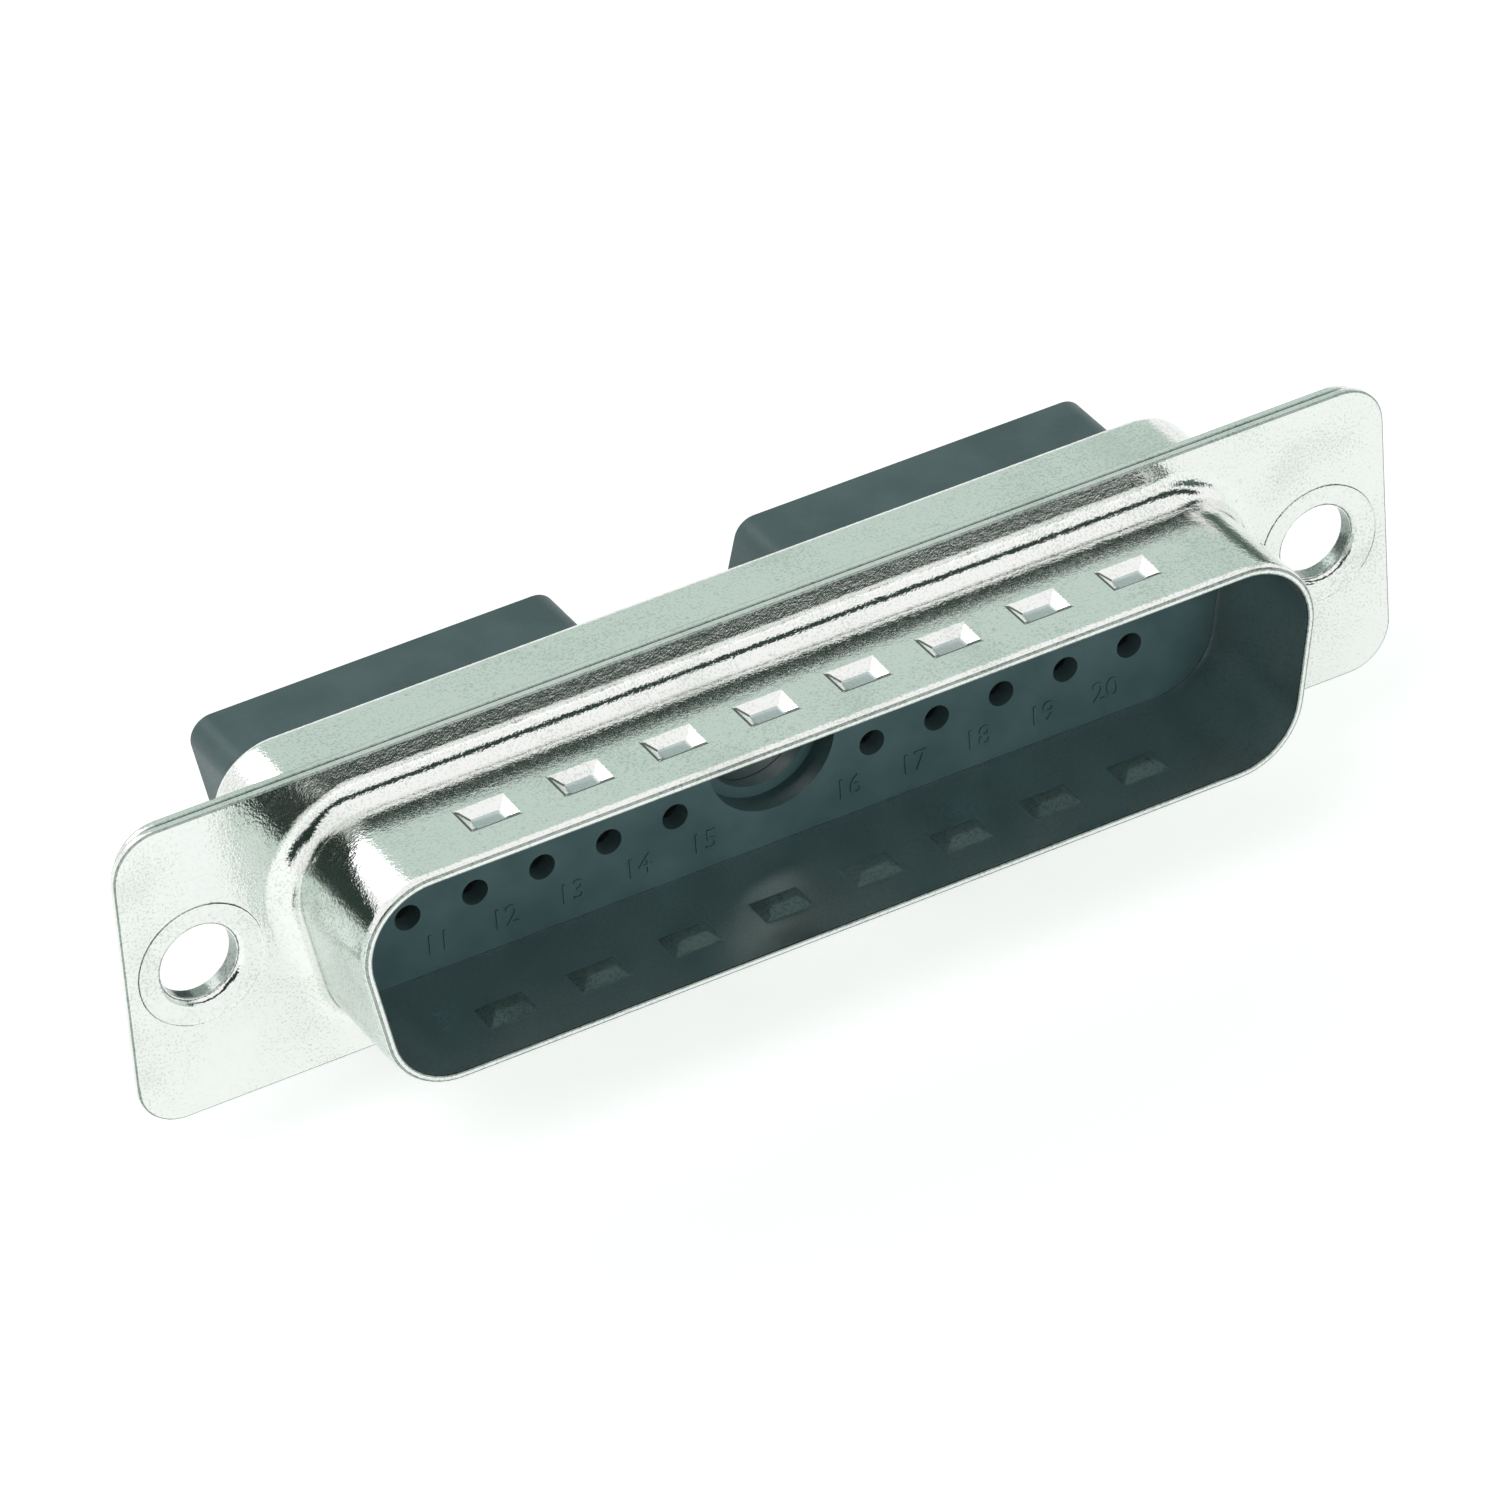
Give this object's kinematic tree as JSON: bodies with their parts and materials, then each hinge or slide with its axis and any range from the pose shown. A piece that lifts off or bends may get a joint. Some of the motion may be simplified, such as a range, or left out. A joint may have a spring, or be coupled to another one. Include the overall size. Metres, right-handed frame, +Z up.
{
  "type": "d-sub plug connector",
  "caption": "Panel-mount D-sub plug connector with a plated D-shaped shroud, a centre coax cavity between groups of signal cavities, and rear contact towers.",
  "frame": {"origin": "centre of the flange's front face, midway between the mounting holes", "axes": "+X along the flange, the mating face looks to -Y, +Z up with the wide side of the D at the top"},
  "size_m": [0.053, 0.0151, 0.0126],
  "materials": {
    "front_shell_tin": "bright tin plate with a fine orange-peel texture",
    "rear_shell_tin": "bright tin plate with a fine orange-peel texture",
    "front_plastic": "moulded, fine matt texture",
    "rear_plastic": "moulded, satin",
    "clip_spring": "bright spring alloy strip"
  },
  "bodies": {
    "root": {"front_shell": "front_shell_tin", "rear_shell": "rear_shell_tin", "front_insulator": "front_plastic", "rear_insulator": "rear_plastic", "retention_clip_01": "clip_spring", "retention_clip_02": "clip_spring", "retention_clip_03": "clip_spring", "retention_clip_04": "clip_spring", "retention_clip_05": "clip_spring", "retention_clip_06": "clip_spring", "retention_clip_07": "clip_spring", "retention_clip_08": "clip_spring", "retention_clip_09": "clip_spring", "retention_clip_10": "clip_spring", "retention_clip_11": "clip_spring", "retention_clip_12": "clip_spring", "retention_clip_13": "clip_spring", "retention_clip_14": "clip_spring", "retention_clip_15": "clip_spring", "retention_clip_16": "clip_spring", "retention_clip_17": "clip_spring", "retention_clip_18": "clip_spring", "retention_clip_19": "clip_spring", "retention_clip_20": "clip_spring"}
  },
  "joints": []
}
